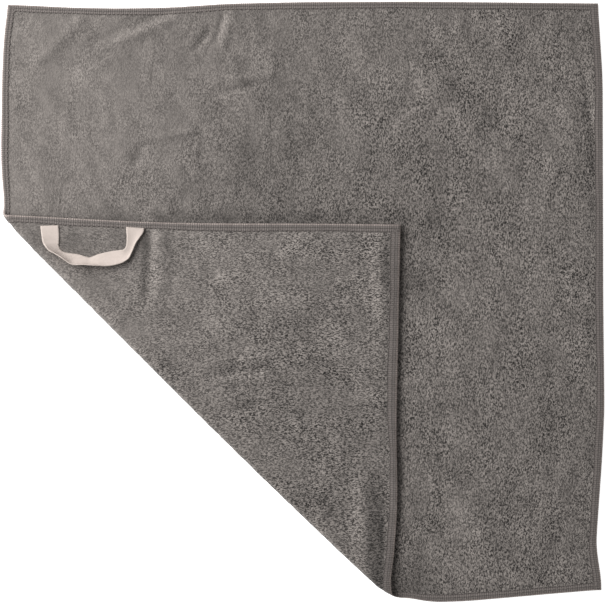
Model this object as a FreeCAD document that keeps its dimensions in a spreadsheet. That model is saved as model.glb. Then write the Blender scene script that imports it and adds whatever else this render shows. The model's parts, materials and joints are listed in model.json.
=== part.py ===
"""Golf towel, lying flat with one corner folded over, in millimetres.

The cloth lies on the plane z = 0 with +Z up and +Y towards the far hem. Its lower-left corner
is folded over along a line at 45 degrees and rests on the middle. The folded corner carries the
hanging loop, a tape whose two ends are caught in the hem.
"""

import FreeCAD, Part
import Sketcher
import os

Vector = FreeCAD.Vector

DRIVING = {
    "towel_side": 400.0,
    "cloth_thickness": 4.0,
    "layer_gap": 0.3,
    "ease": 0.1,
    "binding_width": 5.5,
    "binding_base": 0.15,
    "binding_top": 3.85,
    "binding_lip": 0.65,
    "binding_wall": 0.9,
    "fold_distance": 97.1,
    "fold_draw": 4.0,
    "corner_x": 62.8,
    "corner_y": 51.4,
    "corner_turn": 1.45,
    "stitch_length": 3.0,
    "stitch_pitch": 4.0,
    "thread_width": 0.5,
    "thread_height": 0.15,
    "seam_inset": 1.2,
    "tape_width": 12.0,
    "tape_thickness": 0.8,
    "tape_end_length": 4.0,
    "tape_end_thickness": 0.6,
    "loop_from_corner": 202.4,
    "loop_half_span": 28.85,
    "loop_depth": 24.0,
}

# Lengths that follow from the driving ones. "near" is an edge of the pile field, "deep" the edge
# of the thin tongue that the hem strips are folded round.
DERIVED = {
    "half_side": "=towel_side / 2",
    "binding_height": "=binding_top - binding_base",
    "near_edge": "=half_side - binding_width - ease",
    "deep_edge": "=half_side - binding_wall - ease",
    "inner_edge": "=half_side - binding_width",
    "strip_end": "=half_side - binding_width - ease",
    "slot_edge": "=half_side - binding_wall",
    "fold_sum": "=fold_distance * sqrt(2)",
    "near_fold": "=near_edge - fold_sum",
    "deep_fold": "=deep_edge - fold_sum",
    "outer_fold": "=half_side - fold_sum",
    "inner_fold": "=inner_edge - fold_sum",
    "slot_fold": "=slot_edge - fold_sum",
    "slot_base": "=binding_base + binding_lip",
    "slot_height": "=binding_top - binding_base - 2 * binding_lip",
    "tongue_base": "=slot_base + ease",
    "tongue_height": "=slot_height - 2 * ease",
    "flap_base": "=cloth_thickness + layer_gap",
    "turn_less": "=cos(corner_turn) - sin(corner_turn)",
    "turn_more": "=cos(corner_turn) + sin(corner_turn)",
    "flap_reach": "=corner_x + corner_y + fold_sum - layer_gap * sqrt(2)",
    "flap_near": "=binding_width + ease",
    "flap_deep": "=binding_wall + ease",
    "top_at_edge": "=flap_reach / turn_less",
    "top_at_inner": "=(flap_reach - binding_width * turn_more) / turn_less",
    "top_at_near": "=(flap_reach - flap_near * turn_more) / turn_less",
    "top_at_deep": "=(flap_reach - flap_deep * turn_more) / turn_less",
    "top_at_slot": "=(flap_reach - binding_wall * turn_more) / turn_less",
    "side_at_edge": "=flap_reach / turn_more",
    "side_at_inner": "=(flap_reach - binding_width * turn_less) / turn_more",
    "side_at_near": "=(flap_reach - flap_near * turn_less) / turn_more",
    "side_at_deep": "=(flap_reach - flap_deep * turn_less) / turn_more",
    "side_at_slot": "=(flap_reach - binding_wall * turn_less) / turn_more",
    "seam_line": "=inner_edge + seam_inset - thread_width / 2",
    "seam_side": "=inner_edge + seam_inset + thread_width / 2",
    "seam_start": "=strip_end - stitch_pitch",
    "seam_first_end": "=seam_start - stitch_length",
    "seam_count": "=floor((2 * seam_start - stitch_length) / stitch_pitch) + 1",
    "seam_reach": "=(seam_count - 1) * stitch_pitch",
    "short_count": "=floor((seam_start - inner_fold - stitch_length) / stitch_pitch)",
    "short_reach": "=(short_count - 1) * stitch_pitch",
    "flap_seam_side": "=binding_width - seam_inset - thread_width / 2",
    "flap_seam_line": "=binding_width - seam_inset + thread_width / 2",
    "flap_seam_start": "=flap_near + stitch_pitch",
    "flap_first_end": "=flap_seam_start + stitch_length",
    "flap_top_count": "=floor((top_at_inner - flap_first_end) / stitch_pitch)",
    "flap_top_reach": "=(flap_top_count - 1) * stitch_pitch",
    "flap_side_count": "=floor((side_at_inner - flap_first_end) / stitch_pitch)",
    "flap_side_reach": "=(flap_side_count - 1) * stitch_pitch",
    "roll_height": "=cloth_thickness + layer_gap / 2",
    "roll_inside": "=layer_gap / 2",
    "bend_radius": "=roll_height - binding_base",
    "bend_inside": "=roll_height - binding_top",
    "roll_length": "=2 * towel_side",
    "roll_end": "=towel_side + binding_width",
    "low_outer": "=(half_side + outer_fold) / sqrt(2) - fold_draw",
    "low_inner": "=(inner_edge + inner_fold) / sqrt(2)",
    "low_near": "=(near_edge + near_fold) / sqrt(2)",
    "corner_offset": "=(corner_x - corner_y) / sqrt(2)",
    "left_outer": "=top_at_edge * turn_more / sqrt(2) - corner_offset",
    "left_inner": "=(top_at_inner * turn_more - binding_width * turn_less) / sqrt(2) - corner_offset",
    "left_near": "=(top_at_near * turn_more - flap_near * turn_less) / sqrt(2) - corner_offset",
    "right_outer": "=side_at_edge * turn_less / sqrt(2) + corner_offset",
    "right_inner": "=(side_at_inner * turn_less - binding_width * turn_more) / sqrt(2) + corner_offset",
    "right_near": "=(side_at_near * turn_less - flap_near * turn_more) / sqrt(2) + corner_offset",
    "tape_end_base": "=tongue_base + tongue_height - tape_end_thickness",
    "tape_nest_base": "=tape_end_base - ease",
    "tape_nest_height": "=tape_end_thickness + 2 * ease",
    "tape_end_inside": "=binding_width - tape_end_length",
    "tape_nest_inside": "=tape_end_inside - ease",
    "left_leg_far": "=loop_from_corner + loop_half_span + tape_width / 2",
    "left_leg_near": "=left_leg_far - tape_width",
    "right_leg_far": "=loop_from_corner - loop_half_span + tape_width / 2",
    "right_leg_near": "=right_leg_far - tape_width",
    "left_nest_far": "=left_leg_far + ease",
    "left_nest_near": "=left_leg_near - ease",
    "right_nest_far": "=right_leg_far + ease",
    "right_nest_near": "=right_leg_near - ease",
    "tape_lift": "=cloth_thickness + ease + tape_thickness / 2",
}

# Where the tape's sections stand along half of the loop, from a leg at the hem to the middle of
# the run: shares of the half span and of the depth, then heading and tilt in degrees. The tape
# leaves the hem flat and rolls up on its inner edge as it turns.
LOOP_SECTIONS = [
    (1.00, 0.02, 90, 0),
    (0.98, 0.42, 82, 4),
    (0.86, 0.67, 50, 35),
    (0.60, 0.86, 22, 50),
    (0.00, 1.00, 0, 65),
]


# Sheet and small helpers


def make_sheet(doc):
    """Put the driving numbers and the lengths worked out from them in one spreadsheet."""
    sheet = doc.addObject("Spreadsheet::Sheet", "dims")
    for row, (name, value) in enumerate({**DRIVING, **DERIVED}.items(), start=1):
        sheet.set("A%d" % row, name)
        sheet.set("B%d" % row, str(value))
        sheet.setAlias("B%d" % row, name)
    doc.recompute()
    return sheet


def size(sheet, name):
    """Read one length, with a leading minus for its opposite."""
    if name == "0":
        return 0.0
    if name.startswith("-"):
        return -float(sheet.get(name[1:]))
    return float(sheet.get(name))


def formula(name):
    """Turn a length's name, with its sign, into an expression on the sheet."""
    if name == "0":
        return None
    if name.startswith("-"):
        return "-dims." + name[1:]
    return "dims." + name


def origin_plane(body, role):
    """Find one of a body's own origin planes."""
    return [item for item in body.Origin.OriginFeatures if item.Role == role][0]


def new_body(doc, label):
    """Start a sub-part: one body, named as its file is."""
    body = doc.addObject("PartDesign::Body", label)
    body.Label = label
    body.AllowCompound = True
    return body


def new_sketch(body, name, role, height=None):
    """Attach a sketch to an origin plane, raised by the length named height."""
    sketch = body.newObject("Sketcher::SketchObject", name)
    sketch.AttachmentSupport = [(origin_plane(body, role), "")]
    sketch.MapMode = "FlatFace"
    if height:
        sketch.setExpression("AttachmentOffset.Base.z", formula(height))
    return sketch


def fix_point(sketch, edge, point, sheet):
    """Tie the start of an edge to two named lengths."""
    for kind, name in zip(("DistanceX", "DistanceY"), point):
        if name == "0":
            axis = -2 if kind == "DistanceX" else -1
            sketch.addConstraint(Sketcher.Constraint("PointOnObject", edge, 1, axis))
            continue
        index = sketch.addConstraint(Sketcher.Constraint(kind, edge, 1, size(sheet, name)))
        sketch.setExpression("Constraints[%d]" % index, formula(name))


def add_outline(sketch, points, sheet):
    """Draw a closed outline through points given as pairs of named lengths."""
    first = sketch.GeometryCount
    spots = [Vector(size(sheet, x), size(sheet, y), 0) for x, y in points]
    for index, spot in enumerate(spots):
        following = spots[(index + 1) % len(spots)]
        sketch.addGeometry(Part.LineSegment(spot, following), False)
    for index in range(len(spots)):
        following = first + (index + 1) % len(spots)
        sketch.addConstraint(Sketcher.Constraint("Coincident", first + index, 2, following, 1))
    for index, point in enumerate(points):
        fix_point(sketch, first + index, point, sheet)


def pad_outline(body, sheet, name, points, base, height):
    """Raise a flat outline from one named height by another."""
    sketch = new_sketch(body, name + "_outline", "XY_Plane", base)
    add_outline(sketch, points, sheet)
    pad = body.newObject("PartDesign::Pad", name)
    pad.Profile = sketch
    pad.setExpression("Length", formula(height))
    return pad


def cut_outline(doc, body, sheet, name, points, base, height):
    """Cut a flat outline upwards from one named height by another, and see that it cut."""
    doc.recompute()
    before = body.Shape.Volume
    sketch = new_sketch(body, name + "_outline", "XY_Plane", base)
    add_outline(sketch, points, sheet)
    pocket = body.newObject("PartDesign::Pocket", name)
    pocket.Profile = sketch
    pocket.Reversed = True
    pocket.setExpression("Length", formula(height))
    doc.recompute()
    if body.Shape.Volume >= before:
        raise RuntimeError(body.Label + ": " + name + " cuts nothing")
    return pocket


def lay_on_towel(body):
    """Carry a piece drawn in the folded corner's own frame to where the corner rests."""
    body.setExpression("Placement.Base.x", "dims.corner_x")
    body.setExpression("Placement.Base.y", "dims.corner_y")
    body.setExpression("Placement.Base.z", "dims.flap_base")
    body.Placement.Rotation = FreeCAD.Rotation(Vector(0, 0, 1), DRIVING["corner_turn"])
    body.setExpression("Placement.Rotation.Angle", "-dims.corner_turn")
    return body


# Cloth


def main_panel(doc, sheet):
    """The pile cloth lying on the table, square but for the corner that is folded away."""
    body = new_body(doc, "main_panel")
    field = [
        ("-near_edge", "near_edge"),
        ("near_edge", "near_edge"),
        ("near_edge", "-near_edge"),
        ("near_fold", "-near_edge"),
        ("-near_edge", "near_fold"),
    ]
    tongue = [
        ("-deep_edge", "deep_edge"),
        ("deep_edge", "deep_edge"),
        ("deep_edge", "-deep_edge"),
        ("deep_fold", "-deep_edge"),
        ("-deep_edge", "deep_fold"),
    ]
    pad_outline(body, sheet, "pile_field", field, "0", "cloth_thickness")
    pad_outline(body, sheet, "hem_tongue", tongue, "tongue_base", "tongue_height")
    return body


def flap_panel(doc, sheet):
    """The folded corner's cloth, drawn with the towel's corner at the origin."""
    body = new_body(doc, "flap_panel")
    field = [
        ("-flap_near", "-flap_near"),
        ("-top_at_near", "-flap_near"),
        ("-flap_near", "-side_at_near"),
    ]
    tongue = [
        ("-flap_deep", "-flap_deep"),
        ("-top_at_deep", "-flap_deep"),
        ("-flap_deep", "-side_at_deep"),
    ]
    pad_outline(body, sheet, "pile_field", field, "0", "cloth_thickness")
    pad_outline(body, sheet, "hem_tongue", tongue, "tongue_base", "tongue_height")
    for leg in ("left", "right"):
        nest = [
            ("-%s_nest_far" % leg, "-tape_nest_inside"),
            ("-%s_nest_near" % leg, "-tape_nest_inside"),
            ("-%s_nest_near" % leg, "-binding_width"),
            ("-%s_nest_far" % leg, "-binding_width"),
        ]
        cut_outline(doc, body, sheet, leg + "_nest", nest, "tape_nest_base", "tape_nest_height")
    return lay_on_towel(body)


# Hem strips


def hem_strip(doc, sheet, label, plan, slot):
    """A strip folded round the cloth's edge: a flat bar with a slot along its inner side."""
    body = new_body(doc, label)
    pad_outline(body, sheet, "strip", plan, "binding_base", "binding_height")
    cut_outline(doc, body, sheet, "cloth_slot", slot, "slot_base", "slot_height")
    return body


def main_hems(doc, sheet):
    """The four strips of the part that lies flat; the side strips cap the other two."""
    left = hem_strip(
        doc,
        sheet,
        "left_hem",
        [
            ("-half_side", "half_side"),
            ("-inner_edge", "half_side"),
            ("-inner_edge", "inner_fold"),
            ("-half_side", "outer_fold"),
        ],
        [
            ("-slot_edge", "slot_edge"),
            ("-inner_edge", "slot_edge"),
            ("-inner_edge", "inner_fold"),
            ("-slot_edge", "slot_fold"),
        ],
    )
    right = hem_strip(
        doc,
        sheet,
        "right_hem",
        [
            ("inner_edge", "half_side"),
            ("half_side", "half_side"),
            ("half_side", "-half_side"),
            ("inner_edge", "-half_side"),
        ],
        [
            ("inner_edge", "slot_edge"),
            ("slot_edge", "slot_edge"),
            ("slot_edge", "-slot_edge"),
            ("inner_edge", "-slot_edge"),
        ],
    )
    top = hem_strip(
        doc,
        sheet,
        "top_hem",
        [
            ("-strip_end", "inner_edge"),
            ("-strip_end", "half_side"),
            ("strip_end", "half_side"),
            ("strip_end", "inner_edge"),
        ],
        [
            ("-strip_end", "inner_edge"),
            ("-strip_end", "slot_edge"),
            ("strip_end", "slot_edge"),
            ("strip_end", "inner_edge"),
        ],
    )
    bottom = hem_strip(
        doc,
        sheet,
        "bottom_hem",
        [
            ("inner_fold", "-inner_edge"),
            ("strip_end", "-inner_edge"),
            ("strip_end", "-half_side"),
            ("outer_fold", "-half_side"),
        ],
        [
            ("inner_fold", "-inner_edge"),
            ("strip_end", "-inner_edge"),
            ("strip_end", "-slot_edge"),
            ("slot_fold", "-slot_edge"),
        ],
    )
    return [left, right, top, bottom]


def flap_hems(doc, sheet):
    """The two strips that go over with the folded corner."""
    top = hem_strip(
        doc,
        sheet,
        "flap_top_hem",
        [
            ("0", "0"),
            ("0", "-binding_width"),
            ("-top_at_inner", "-binding_width"),
            ("-top_at_edge", "0"),
        ],
        [
            ("-binding_wall", "-binding_wall"),
            ("-binding_wall", "-binding_width"),
            ("-top_at_inner", "-binding_width"),
            ("-top_at_slot", "-binding_wall"),
        ],
    )
    side = hem_strip(
        doc,
        sheet,
        "flap_side_hem",
        [
            ("0", "-flap_near"),
            ("-binding_width", "-flap_near"),
            ("-binding_width", "-side_at_inner"),
            ("0", "-side_at_edge"),
        ],
        [
            ("-binding_wall", "-flap_near"),
            ("-binding_width", "-flap_near"),
            ("-binding_width", "-side_at_inner"),
            ("-binding_wall", "-side_at_slot"),
        ],
    )
    return [lay_on_towel(top), lay_on_towel(side)]


# Sewing thread


def seam(doc, sheet, label, first_stitch, axis, backwards, count, reach):
    """One hem's needle row: the same straight stitches on the upper and the under face."""
    body = new_body(doc, label)
    stitches = [
        pad_outline(body, sheet, "under_stitch", first_stitch, "0", "thread_height"),
        pad_outline(body, sheet, "upper_stitch", first_stitch, "binding_top", "thread_height"),
    ]
    row = body.newObject("PartDesign::LinearPattern", "row")
    row.Originals = stitches
    row.Direction = (origin_plane(body, axis), [""])
    row.Reversed = backwards
    row.setExpression("Occurrences", formula(count))
    row.setExpression("Length", formula(reach))
    body.Tip = row
    return body


def main_seams(doc, sheet):
    """The rows that hold the four strips of the part that lies flat."""
    left = [
        ("-seam_side", "seam_start"),
        ("-seam_line", "seam_start"),
        ("-seam_line", "seam_first_end"),
        ("-seam_side", "seam_first_end"),
    ]
    right = [
        ("seam_line", "seam_start"),
        ("seam_side", "seam_start"),
        ("seam_side", "seam_first_end"),
        ("seam_line", "seam_first_end"),
    ]
    top = [
        ("seam_first_end", "seam_side"),
        ("seam_start", "seam_side"),
        ("seam_start", "seam_line"),
        ("seam_first_end", "seam_line"),
    ]
    bottom = [
        ("seam_first_end", "-seam_line"),
        ("seam_start", "-seam_line"),
        ("seam_start", "-seam_side"),
        ("seam_first_end", "-seam_side"),
    ]
    return [
        seam(doc, sheet, "left_seam", left, "Y_Axis", True, "short_count", "short_reach"),
        seam(doc, sheet, "right_seam", right, "Y_Axis", True, "seam_count", "seam_reach"),
        seam(doc, sheet, "top_seam", top, "X_Axis", True, "seam_count", "seam_reach"),
        seam(doc, sheet, "bottom_seam", bottom, "X_Axis", True, "short_count", "short_reach"),
    ]


def flap_seams(doc, sheet):
    """The rows that hold the two strips of the folded corner."""
    top = [
        ("-flap_first_end", "-flap_seam_side"),
        ("-flap_seam_start", "-flap_seam_side"),
        ("-flap_seam_start", "-flap_seam_line"),
        ("-flap_first_end", "-flap_seam_line"),
    ]
    side = [
        ("-flap_seam_line", "-flap_seam_start"),
        ("-flap_seam_side", "-flap_seam_start"),
        ("-flap_seam_side", "-flap_first_end"),
        ("-flap_seam_line", "-flap_first_end"),
    ]
    pieces = [
        seam(doc, sheet, "flap_top_seam", top, "X_Axis", True, "flap_top_count", "flap_top_reach"),
        seam(doc, sheet, "flap_side_seam", side, "Y_Axis", True, "flap_side_count", "flap_side_reach"),
    ]
    return [lay_on_towel(piece) for piece in pieces]


# The fold, where the cloth and its hems turn over through half a circle


def add_half_ring(sketch, sheet, outside, inside):
    """Draw the section of the fold: half a ring about the fold line, open towards the towel."""
    rings = []
    for name in (outside, inside):
        circle = Part.Circle(Vector(0, 0, 0), Vector(0, 0, 1), size(sheet, name))
        arc = sketch.addGeometry(Part.ArcOfCircle(circle, 1.5707963, 4.7123890), False)
        sketch.addConstraint(Sketcher.Constraint("Coincident", arc, 3, -1, 1))
        radius = sketch.addConstraint(Sketcher.Constraint("Radius", arc, size(sheet, name)))
        sketch.setExpression("Constraints[%d]" % radius, formula(name))
        rings.append(arc)
    for end, sign in ((1, 1), (2, -1)):
        outer_point = Vector(0, sign * size(sheet, outside), 0)
        inner_point = Vector(0, sign * size(sheet, inside), 0)
        line = sketch.addGeometry(Part.LineSegment(outer_point, inner_point), False)
        sketch.addConstraint(Sketcher.Constraint("Coincident", line, 1, rings[0], end))
        sketch.addConstraint(Sketcher.Constraint("Coincident", line, 2, rings[1], end))
        sketch.addConstraint(Sketcher.Constraint("Vertical", line))


def fold_piece(doc, sheet, label, outside, inside, left, right):
    """A length of the fold; left and right name where it ends on the under and upper layers."""
    body = new_body(doc, label)
    section = new_sketch(body, "section", "YZ_Plane")
    add_half_ring(section, sheet, outside, inside)
    pad = body.newObject("PartDesign::Pad", "half_ring")
    pad.Profile = section
    pad.Midplane = True
    pad.setExpression("Length", formula("roll_length"))
    doc.recompute()
    before = body.Shape.Volume
    trim = new_sketch(body, "trim_lines", "XZ_Plane")
    for far, ends in (("-roll_end", left), ("roll_end", right)):
        low, high = ends
        add_outline(
            trim,
            [
                (far, "-roll_height"),
                (low, "-roll_height"),
                (high, "roll_height"),
                (far, "roll_height"),
            ],
            sheet,
        )
    pocket = body.newObject("PartDesign::Pocket", "slanted_ends")
    pocket.Profile = trim
    pocket.Midplane = True
    pocket.setExpression("Length", "4 * dims.roll_height")
    doc.recompute()
    if body.Shape.Volume >= before:
        raise RuntimeError(label + ": its ends are not cut")
    body.setExpression("Placement.Base.x", "-dims.fold_sum / 2")
    body.setExpression("Placement.Base.y", "-dims.fold_sum / 2")
    body.setExpression("Placement.Base.z", "dims.roll_height")
    body.Placement.Rotation = FreeCAD.Rotation(Vector(0, 0, 1), -45)
    return body


def fold_pieces(doc, sheet):
    """The cloth in the fold, and the hem strip's bend at each end of it."""
    cloth = fold_piece(
        doc,
        sheet,
        "fold_roll",
        "roll_height",
        "roll_inside",
        ("-low_near", "-left_near"),
        ("low_near", "right_near"),
    )
    left = fold_piece(
        doc,
        sheet,
        "left_hem_bend",
        "bend_radius",
        "bend_inside",
        ("-low_outer", "-left_outer"),
        ("-low_inner", "-left_inner"),
    )
    bottom = fold_piece(
        doc,
        sheet,
        "bottom_hem_bend",
        "bend_radius",
        "bend_inside",
        ("low_inner", "right_inner"),
        ("low_outer", "right_outer"),
    )
    return [cloth, left, bottom]


# Hanging loop


def loop_ends(doc, sheet):
    """The tape's two ends, flat between the cloth and the hem strip that is sewn over them."""
    body = new_body(doc, "loop_ends")
    for leg in ("left", "right"):
        plan = [
            ("-%s_leg_far" % leg, "-tape_end_inside"),
            ("-%s_leg_near" % leg, "-tape_end_inside"),
            ("-%s_leg_near" % leg, "-binding_width"),
            ("-%s_leg_far" % leg, "-binding_width"),
        ]
        pad_outline(body, sheet, leg + "_end", plan, "tape_end_base", "tape_end_thickness")
    return lay_on_towel(body)


def tape_section(doc, name, along, down, outward, tilt):
    """The tape's cross-section at one place on the loop, its width pointing outward and up."""
    sketch = doc.addObject("Sketcher::SketchObject", name)
    half_width = DRIVING["tape_width"] / 2
    half_thickness = DRIVING["tape_thickness"] / 2
    corners = [
        Vector(-half_width, -half_thickness, 0),
        Vector(half_width, -half_thickness, 0),
        Vector(half_width, half_thickness, 0),
        Vector(-half_width, half_thickness, 0),
    ]
    for index, corner in enumerate(corners):
        sketch.addGeometry(Part.LineSegment(corner, corners[(index + 1) % 4]), False)
    for index in range(4):
        sketch.addConstraint(Sketcher.Constraint("Coincident", index, 2, (index + 1) % 4, 1))
    for index in (0, 2):
        sketch.addConstraint(Sketcher.Constraint("Horizontal", index))
        sketch.addConstraint(Sketcher.Constraint("Vertical", index + 1))
    sketch.addConstraint(Sketcher.Constraint("Symmetric", 0, 1, 1, 2, -1, 1))
    width = sketch.addConstraint(Sketcher.Constraint("DistanceX", 0, 1, 0, 2, 2 * half_width))
    sketch.setExpression("Constraints[%d]" % width, "dims.tape_width")
    thickness = sketch.addConstraint(Sketcher.Constraint("DistanceY", 1, 1, 1, 2, 2 * half_thickness))
    sketch.setExpression("Constraints[%d]" % thickness, "dims.tape_thickness")
    upright = FreeCAD.Rotation(Vector(1, 0, 0), 90)
    tilted = FreeCAD.Rotation(Vector(0, 1, 0), -tilt)
    headed = FreeCAD.Rotation(Vector(0, 0, 1), outward)
    sketch.Placement.Rotation = headed.multiply(tilted).multiply(upright)
    sketch.setExpression("Placement.Base.x", "%g * dims.loop_half_span" % along)
    sketch.setExpression("Placement.Base.y", "-%g * dims.loop_depth" % down)
    sketch.setExpression("Placement.Base.z", "dims.tape_width / 2 * sin(%g)" % tilt)
    return sketch


def loop_tape(doc):
    """The free part of the tape, from the hem out, round and back, as one ruled band."""
    sections = []
    for index, (along, down, heading, tilt) in enumerate(LOOP_SECTIONS):
        name = "tape_left_%d" % index
        sections.append(tape_section(doc, name, -along, down, -90 - heading, tilt))
    for index, (along, down, heading, tilt) in reversed(list(enumerate(LOOP_SECTIONS[:-1]))):
        name = "tape_right_%d" % index
        sections.append(tape_section(doc, name, along, down, -90 + heading, tilt))
    doc.recompute()
    band = doc.addObject("Part::Loft", "loop_tape")
    band.Label = "loop_tape"
    band.Sections = sections
    band.Solid = True
    band.Ruled = True
    along = "dims.loop_from_corner"
    inward = "dims.binding_width"
    turn = "dims.corner_turn"
    band.setExpression(
        "Placement.Base.x", "dims.corner_x - %s * cos(%s) - %s * sin(%s)" % (along, turn, inward, turn)
    )
    band.setExpression(
        "Placement.Base.y", "dims.corner_y + %s * sin(%s) - %s * cos(%s)" % (along, turn, inward, turn)
    )
    band.setExpression("Placement.Base.z", "dims.flap_base + dims.tape_lift")
    band.Placement.Rotation = FreeCAD.Rotation(Vector(0, 0, 1), DRIVING["corner_turn"])
    band.setExpression("Placement.Rotation.Angle", "-dims.corner_turn")
    return band


# Check and export


def check_document(doc, pieces):
    """Stop if any object failed to compute or any sub-part is not a sound shape."""
    doc.recompute()
    for item in doc.Objects:
        if "Invalid" in item.State or "Error" in item.State:
            raise RuntimeError(item.Label + " did not compute")
    for piece in pieces:
        if piece.Shape.isNull() or not piece.Shape.isValid():
            raise RuntimeError(piece.Label + " is not a sound shape")


def export_pieces(pieces):
    """Write each sub-part to its own file."""
    os.makedirs("parts", exist_ok=True)
    for piece in pieces:
        piece.Shape.exportStep("parts/" + piece.Label + ".step")


doc = FreeCAD.newDocument("golf_towel")
sheet = make_sheet(doc)
pieces = [main_panel(doc, sheet), flap_panel(doc, sheet)]
pieces += main_hems(doc, sheet)
pieces += flap_hems(doc, sheet)
pieces += main_seams(doc, sheet)
pieces += flap_seams(doc, sheet)
pieces += fold_pieces(doc, sheet)
pieces += [loop_ends(doc, sheet), loop_tape(doc)]
check_document(doc, pieces)
export_pieces(pieces)
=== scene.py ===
"""A square golf towel of grey-brown pile cloth, laid flat with one corner folded over, in metres."""

import json
import math

import bpy
import numpy as np
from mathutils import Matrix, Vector


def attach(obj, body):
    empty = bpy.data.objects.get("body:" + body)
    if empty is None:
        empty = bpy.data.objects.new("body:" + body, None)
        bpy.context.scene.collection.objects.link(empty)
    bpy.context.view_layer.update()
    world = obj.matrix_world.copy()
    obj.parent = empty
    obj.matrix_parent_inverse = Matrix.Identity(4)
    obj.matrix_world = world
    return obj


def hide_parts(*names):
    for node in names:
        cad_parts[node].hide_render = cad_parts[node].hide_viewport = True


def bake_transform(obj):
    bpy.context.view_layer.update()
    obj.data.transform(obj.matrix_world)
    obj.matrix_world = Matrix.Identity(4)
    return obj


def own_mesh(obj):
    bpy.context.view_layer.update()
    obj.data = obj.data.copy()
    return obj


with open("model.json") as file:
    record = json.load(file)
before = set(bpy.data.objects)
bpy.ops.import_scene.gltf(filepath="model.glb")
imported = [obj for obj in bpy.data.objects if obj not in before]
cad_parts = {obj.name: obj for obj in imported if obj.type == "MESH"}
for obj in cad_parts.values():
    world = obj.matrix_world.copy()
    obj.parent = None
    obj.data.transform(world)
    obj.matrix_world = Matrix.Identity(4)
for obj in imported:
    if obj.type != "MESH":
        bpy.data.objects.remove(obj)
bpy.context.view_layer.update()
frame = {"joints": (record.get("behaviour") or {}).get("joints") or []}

# --- Studio -----------------------------------------------------------------------------------
# The towel is looked at from straight above, over a plain white table, with one large soft lamp
# low on the left and pale light from all round.

view_width = 0.4036
camera_height = 3.0
table_drop = 0.0003

camera_data = bpy.data.cameras.new("overhead")
camera_data.sensor_width = 36
camera_data.lens = camera_data.sensor_width * camera_height / view_width
camera = bpy.data.objects.new("overhead", camera_data)
camera.location = (0.0003, 0.0003, camera_height)
bpy.context.collection.objects.link(camera)
bpy.context.scene.camera = camera

lamp_data = bpy.data.lights.new("soft_lamp", "AREA")
lamp_data.shape = "RECTANGLE"
lamp_data.size = 1.2
lamp_data.size_y = 1.0
lamp_data.energy = 23.2
lamp = bpy.data.objects.new("soft_lamp", lamp_data)
lamp.location = (-0.86, 0.36, 0.80)
lamp.rotation_euler = (Vector((0.0, 0.0, 0.0)) - lamp.location).to_track_quat("-Z", "Y").to_euler()
bpy.context.collection.objects.link(lamp)

world = bpy.data.worlds.new("pale_room")
world.use_nodes = True
world.node_tree.nodes["Background"].inputs["Color"].default_value = (1.0, 1.0, 1.0, 1.0)
world.node_tree.nodes["Background"].inputs["Strength"].default_value = 0.25
bpy.context.scene.world = world
bpy.context.scene.view_settings.view_transform = "Standard"

table_mesh = bpy.data.meshes.new("table")
table_mesh.from_pydata([(-4, -4, 0), (4, -4, 0), (4, 4, 0), (-4, 4, 0)], [], [(0, 1, 2, 3)])
table = bpy.data.objects.new("table", table_mesh)
table.location.z = -table_drop
bpy.context.collection.objects.link(table)
table_paint = bpy.data.materials.new("white_table")
table_paint.use_nodes = True
table_shader = table_paint.node_tree.nodes["Principled BSDF"]
table_shader.inputs["Base Color"].default_value = (0.93, 0.93, 0.93, 1.0)
table_shader.inputs["Roughness"].default_value = 0.9
table_shader.inputs["Emission Color"].default_value = (1.0, 1.0, 1.0, 1.0)
table_shader.inputs["Emission Strength"].default_value = 0.80
table_mesh.materials.append(table_paint)

# --- Cloth ------------------------------------------------------------------------------------
# One square of knitted microfibre with a short cut pile on both faces, about 2.2 mm thick. It is
# laid flat, and its lower-left corner is turned over in a loose round fold onto the middle.

side = 0.400
half = side / 2
hem_width = 0.0055
cloth_thickness = 0.0022

fold = next(joint for joint in frame["joints"] if joint["name"] == "corner_fold")
fold_point = np.array(fold["pos_m"])
fold_along = np.array(fold["axis"])
fold_inward = np.array([math.sqrt(0.5), math.sqrt(0.5), 0.0])
fold_distance = float(-(fold_point @ fold_inward))
fold_centre = float(fold_point[2])
fold_radius = fold_centre - cloth_thickness / 2
fold_arc = math.pi * fold_radius
flap_rest = 0.00462
flap_base = flap_rest + cloth_thickness / 2
# the grid's rows run along the fold, and one of them lies at its middle
rows_to_fold = 85
row_gap = (fold_distance + fold_arc / 2) / rows_to_fold
fold_half = 4 * row_gap
strip_tuck = 0.0010
corner_at = np.array([0.0650, 0.0514])
# how full the fold is at places along it, in mm
fold_bulge = [
    (-195, 0.85),
    (-172, 1.02),
    (-150, 1.2),
    (0, 1.22),
    (60, 1.1),
    (103, 0.9),
    (144, 0.66),
    (172, 0.36),
    (195, 0.3),
]
pile_colour = (0.185, 0.166, 0.153)


def ripples(x, y, wavelength, seed, waves=14):
    """Smooth random relief between about -1 and 1, from waves of nearly one length."""
    random = np.random.default_rng(seed)
    total = np.zeros_like(x)
    for _ in range(waves):
        heading = random.uniform(0, 2 * math.pi)
        length = wavelength * random.uniform(0.7, 1.5)
        turn = random.uniform(0, 2 * math.pi)
        total += np.sin((x * math.cos(heading) + y * math.sin(heading)) * 2 * math.pi / length + turn)
    return total / math.sqrt(waves) / 1.4


def crease(x, y, start, end, width, height):
    """A soft ridge, or a dip where height is below 0, along a line that fades at both ends."""
    start, end = np.array(start), np.array(end)
    length = np.linalg.norm(end - start)
    heading = (end - start) / length
    along = (x - start[0]) * heading[0] + (y - start[1]) * heading[1]
    across = -(x - start[0]) * heading[1] + (y - start[1]) * heading[0]
    past = np.maximum(np.abs(along - length / 2) - length / 2, 0)
    return height * np.exp(-((across / width) ** 2) - (past / (1.5 * width)) ** 2)


def smooth_step(value, low, high):
    """0 below low, 1 above high, and smooth between."""
    share = np.clip((value - low) / (high - low), 0, 1)
    return share * share * (3 - 2 * share)


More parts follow.
